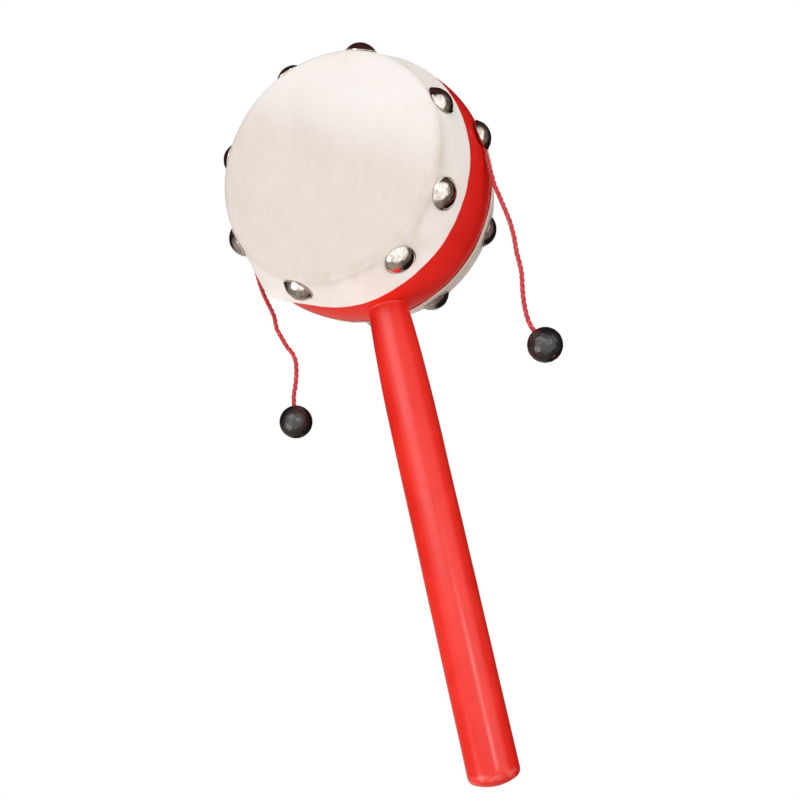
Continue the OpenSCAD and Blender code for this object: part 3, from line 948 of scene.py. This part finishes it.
def make_shell(material):
    """The barrel: a round crown, straight flanks, rounded edges and the bore."""
    crown = arc((CROWN_C, 0), CROWN_R, -FLANK, FLANK, steps=40)
    far_edge = arc((EDGE_X, EDGE_Y), SHELL_EDGE_R, FLANK, math.pi / 2, steps=8)
    near_edge = [(r, -y) for r, y in reversed(far_edge)]
    near_flank = line(near_edge[-1], crown[0], steps=8)[:-1]
    far_flank = line(crown[-1], far_edge[0], steps=8)
    outside = [*near_edge, *near_flank, *crown, *far_flank, *far_edge[1:]]
    inside = [(BORE_R, SHELL_HALF_W), (BORE_R, 0), (BORE_R, -SHELL_HALF_W)]
    piece = turned("drum_shell_lacquered", [*outside, *inside, outside[0]], sides=256)
    placed(piece, drum_matrix(1))
    smooth(piece, degrees=35)
    return finish_piece(piece, material, "drum", "red_lacquer", "drum_shell")


def near(clock, place, reach, fall=2):
    """1 at a clock place, falling to 0 past its reach in degrees."""
    gap = abs((clock - place + 180) % 360 - 180)
    return math.exp(-(gap / reach) ** fall)


def skirt_rise(clock, along, head):
    """How far a skirt stands off the shell at a clock place and a share of the way to its cut edge."""
    turn = math.radians(clock)
    around = (math.cos(turn), math.sin(turn))
    by_tack = max(near(clock, place, TACK_HOLD_REACH) for place in head["tacks"])
    by_cord = max(near(clock, place, CORD_HOLD_REACH, fall=4) for place in CORD_CLOCKS)
    puff = 1 - SKIRT_PUFF + SKIRT_PUFF * uneven((*around, 0), scale=5, seed=head["seed"])
    rise = head["slack"] * puff * (1 - TACK_HOLDS * by_tack)
    rise += sum(height * near(clock, place, reach) for place, reach, height in head["loose"])
    wrinkle = WRINKLE_H * uneven((*around, along * 0.3), scale=16, seed=head["seed"] + 4)
    return along ** 2 * rise * (1 - CORD_HOLDS * by_cord) + along * max(wrinkle, -WRINKLE_SUNK)


def cut_waver(clock, around, along, head):
    """How far a skirt's cut edge draws back: raggedly all round, and smoothly at its short place."""
    place, reach, drawn = head["short"]
    ragged = RAGGED_H * uneven(around, scale=9, seed=head["seed"] + 7) * along ** 6
    return ragged + drawn * near(clock, place, reach) * along ** 2


def crease(x, z):
    """How high the face stands along its creases, as a share."""
    here = Vector((x, z)) / MM
    height = 0.0
    for start, end in FACE_CREASES:
        start, way = Vector(start), Vector(end) - Vector(start)
        share = min(max((here - start).dot(way) / way.length_squared, 0), 1)
        away = (here - start - way * share).length * MM / CREASE_HALF_W
        arch = math.sin(math.pi * (CREASE_END + (1 - 2 * CREASE_END) * share))
        height = max(height, math.exp(-away ** 2) * arch)
    return height


def face_rise(x, y, radius, head):
    """How far the face stands out of its plane: it sags a little, and the front one is creased."""
    slackness = 1 - (radius / EDGE_X) ** 6
    rise = slackness * (FACE_UNEVEN_H * uneven((x, y, 0), scale=50, seed=head["seed"]) - FACE_SUNK)
    return rise + CREASE_H * crease(x, y) if head["side"] < 0 else rise


def head_outline():
    """Half of a skin's section: over the face and down the skirt, round its cut lip and back underneath."""
    face = [(EDGE_X * (i + 0.5) / FACE_RINGS, SHELL_HALF_W + SKIN_T) for i in range(FACE_RINGS)]
    corner = arc((EDGE_X, EDGE_Y), SKIN_EDGE_R, math.pi / 2, FLANK, steps=10)
    skirt = line(SKIRT_TOP, SKIRT_CUT, SKIRT_RINGS)
    lip_r = (SKIN_T - SKIN_GAP) / 2
    lip = arc(SKIRT_CUT - lip_r * FLANK_OUT, lip_r, FLANK, FLANK - math.pi, steps=8)[1:]
    inner_corner = arc((EDGE_X, EDGE_Y), SHELL_EDGE_R + SKIN_GAP, FLANK, math.pi / 2, steps=6)
    inner_skirt = line(lip[-1], inner_corner[0], SKIRT_RINGS)
    inner_shares = [(i + 0.5) / INNER_FACE_RINGS for i in reversed(range(INNER_FACE_RINGS))]
    inner_face = [(EDGE_X * share, SHELL_HALF_W + SKIN_GAP) for share in inner_shares]
    return [*face, *corner, *skirt, *lip, *inner_skirt, *inner_corner[1:], *inner_face]


def make_head(name, head, material):
    """A skin stretched over the shell's end. Its skirt stands a little off the shell between the tacks."""
    side = head["side"]
    piece = turned(f"{name}_stretched", head_outline(), sides=360)
    for vertex in piece.data.vertices:
        x, y, z = vertex.co
        radius = max(math.hypot(x, y), MM / 100)
        around = Vector((x / radius, y / radius, 0))
        clock = math.degrees(math.atan2(-side * y, x))
        along = min(max((SKIRT_TOP[1] - z) / SKIRT_L, 0), 1)
        if along:
            rise = skirt_rise(clock, along, head)
            waver = cut_waver(clock, around, along, head)
            vertex.co += around * rise * FLANK_OUT.x + Vector((0, 0, rise * FLANK_OUT.y + waver))
        elif z > SHELL_HALF_W + SKIN_T / 2 and radius < EDGE_X:
            vertex.co.z += face_rise(x, y, radius, head)
    placed(piece, drum_matrix(side))
    smooth(piece, degrees=50)
    finish_piece(piece, material, "drum", "goatskin", name)


def make_tack(name, rim_z, nail_l):
    """A tack turned about Z: its point, its nail, and its hollow head with a rolled rim."""
    dome_r = (TACK_R ** 2 + TACK_H ** 2) / (2 * TACK_H)
    drop = dome_r - TACK_H
    hollow_r = dome_r - TACK_SHEET_T
    centre = (0, rim_z - drop)
    nail = [(NAIL_R * NAIL_TIP_SHARE, -nail_l), (NAIL_R, NAIL_TIP_L - nail_l)]
    rim_r = (TACK_R - math.sqrt(hollow_r ** 2 - drop ** 2)) / 2
    hollow_end = math.asin((drop + rim_r) / hollow_r)
    hollow = arc(centre, hollow_r, math.acos(NAIL_R / hollow_r), hollow_end, steps=14)
    rim = arc((TACK_R - rim_r, rim_z + rim_r), rim_r, -math.pi, 0, steps=8)
    dome_start = math.asin(drop / dome_r) + TACK_RIM_TURN
    dome = arc(centre, dome_r, dome_start, math.pi / 2 - TACK_POLE_GAP, steps=26)
    return turned(name, [*nail, *hollow, *rim, *dome], sides=72)


def tack_matrix(angle, side):
    """Puts a tack turned about Z on a flank of the drum at a clock place."""
    clock = Matrix.Translation(DRUM_AT) @ Matrix.Rotation(math.radians(-angle), 4, "Y")
    on_flank = Matrix.Translation((TACK_X, side * TACK_Y, 0)) @ Matrix.Rotation(side * FLANK, 4, "Z")
    return clock @ on_flank @ Matrix.Rotation(math.radians(90), 4, "Y")


def make_head_tacks(name, head, material):
    model = make_tack(f"{name}_model", TACK_SEAT, NAIL_L)
    copies = []
    for angle in head["tacks"]:
        copies.append(placed(copy_of(model, f"{name}_{angle}"), tack_matrix(angle, head["side"])))
    bpy.data.objects.remove(model)
    piece = joined(f"{name}_plated", copies)
    lumpy(piece, TACK_DENT, HEAD_TACK_DENT_H)
    smooth(piece, degrees=50)
    return finish_piece(piece, material, "drum", "bright_nickel", name)


def make_cord_tack(name, hand, material):
    piece = make_tack(f"{name}_plated", ANCHOR_RIM_H, ANCHOR_NAIL_L)
    at = Matrix.Translation((hand * SHELL_R, 0, ANCHOR_Z))
    placed(piece, at @ Matrix.Rotation(math.radians(hand * 90), 4, "Y"))
    lumpy(piece, TACK_DENT, CORD_TACK_DENT_H)
    smooth(piece, degrees=50)
    return finish_piece(piece, material, "drum", "bright_nickel", name)


# Handle

def make_handle(material):
    """The grip with its domed end, the neck that narrows on an arc, and the spindle across the hollow."""
    edge_x = GRIP_R - END_EDGE_R
    dome_r = (edge_x ** 2 + END_H ** 2 - END_EDGE_R ** 2) / (2 * (END_H - END_EDGE_R))
    lean = math.asin(edge_x / (dome_r - END_EDGE_R))
    dome = arc((0, dome_r - END_H - GRIP_TOP_Z), dome_r, END_POLE, lean - math.pi / 2, steps=14)
    edge = arc((edge_x, -GRIP_TOP_Z), END_EDGE_R, lean - math.pi / 2, 0, steps=14)[1:]
    grip = line(edge[-1], (GRIP_R, GRIP_TOP_Z), steps=60)
    neck_drop = GRIP_R - NECK_R
    neck_arc_r = (NECK_L ** 2 + neck_drop ** 2) / (2 * neck_drop)
    neck_turn = math.asin(NECK_L / neck_arc_r)
    neck = arc((GRIP_R - neck_arc_r, GRIP_TOP_Z), neck_arc_r, 0, neck_turn, steps=24)[1:]
    shoulder = [(NECK_R, SHOULDER_Z), (SPINDLE_R, SHOULDER_Z)]
    spindle = [(SPINDLE_R, SPINDLE_TOP_Z - SPINDLE_EDGE), (SPINDLE_R - SPINDLE_EDGE, SPINDLE_TOP_Z)]
    piece = turned("handle_lacquered", [*dome, *edge, *grip, *neck, *shoulder, *spindle], sides=128)
    lumpy(piece, GRIP_LUMP, GRIP_LUMP_H)
    smooth(piece, degrees=40)
    return finish_piece(piece, material, "drum", "red_lacquer", "handle")


def make_joint_paint(material):
    """The fillet of lacquer that ran into the joint of neck and shell: a ring whose outer lower quarter is
    drawn hollow, laid along the line where the neck meets the barrel."""
    deselect()
    bpy.ops.mesh.primitive_torus_add(
        major_radius=NECK_R, minor_radius=JOINT_PAINT_R, major_segments=180, minor_segments=24,
        location=(0, 0, 0))
    piece = named(bpy.context.object, "joint_paint")
    for vertex in piece.data.vertices:
        x, y, z = vertex.co
        radius = math.hypot(x, y)
        around = Vector((x / radius, y / radius, 0))
        corner = around * NECK_R
        barrel_r = CROWN_C + math.sqrt(CROWN_R ** 2 - corner.y ** 2)
        corner.z = DRUM_Z - math.sqrt(barrel_r ** 2 - corner.x ** 2)
        section = math.atan2(z, radius - NECK_R)
        spread = math.cos(section) - math.sin(section)
        hollow = spread - math.sqrt(spread * spread - 1) if -math.pi / 2 < section < 0 else 1
        full = hollow * (1 + JOINT_PAINT_UNEVEN * uneven(around, scale=2.6, seed=5))
        vertex.co = corner + full * (around * (radius - NECK_R) + Vector((0, 0, z)))
    outward_faces(piece)
    smooth(piece, degrees=80)
    return finish_piece(piece, material, "drum", "red_lacquer")


def make_handle_nail(material):
    """The nail down through the shell's top into the spindle, with a low crowned head."""
    seat = DRUM_Z + SHELL_R
    top = seat + PIN_HEAD_T
    bottom = SPINDLE_TOP_Z - PIN_L
    shank = [(PIN_R * PIN_TIP_SHARE, bottom), (PIN_R, bottom + PIN_TIP_L), (PIN_R, seat)]
    edge = arc((PIN_HEAD_R - PIN_EDGE_R, top - PIN_EDGE_R), PIN_EDGE_R, 0, math.pi / 2, steps=6)
    crown = [(PIN_HEAD_R * s, top + (0.75 - s * s) * PIN_CROWN_H) for s in (0.7, 0.5, 0.3, 0.1)]
    piece = turned("handle_nail_plated", [*shank, (PIN_HEAD_R, seat), *edge, *crown], sides=48)
    smooth(piece, degrees=40)
    return finish_piece(piece, material, "drum", "bright_nickel", "handle_nail")


place_camera()
lacquer = red_lacquer()
skin = goatskin()
nickel = bright_nickel()
cord_cotton = red_cord()
bead_paint = black_bead()
for cord_side, cord in CORDS.items():
    make_cord(cord_side, cord_cotton, bead_paint, **cord)
make_shell(lacquer)
for head_name, head_facts in HEADS.items():
    make_head(head_name, head_facts, skin)
for head_name, head_facts in HEADS.items():
    make_head_tacks(f"{head_name}_tacks", head_facts, nickel)
for cord_side, cord in CORDS.items():
    make_cord_tack(f"{cord_side}_cord_tack", cord["hand"], nickel)
make_handle(lacquer)
make_joint_paint(lacquer)
make_handle_nail(nickel)
lay_floor()
hang_curtain()
light_world()
light_studio()
bpy.context.scene.view_settings.view_transform = "Standard"
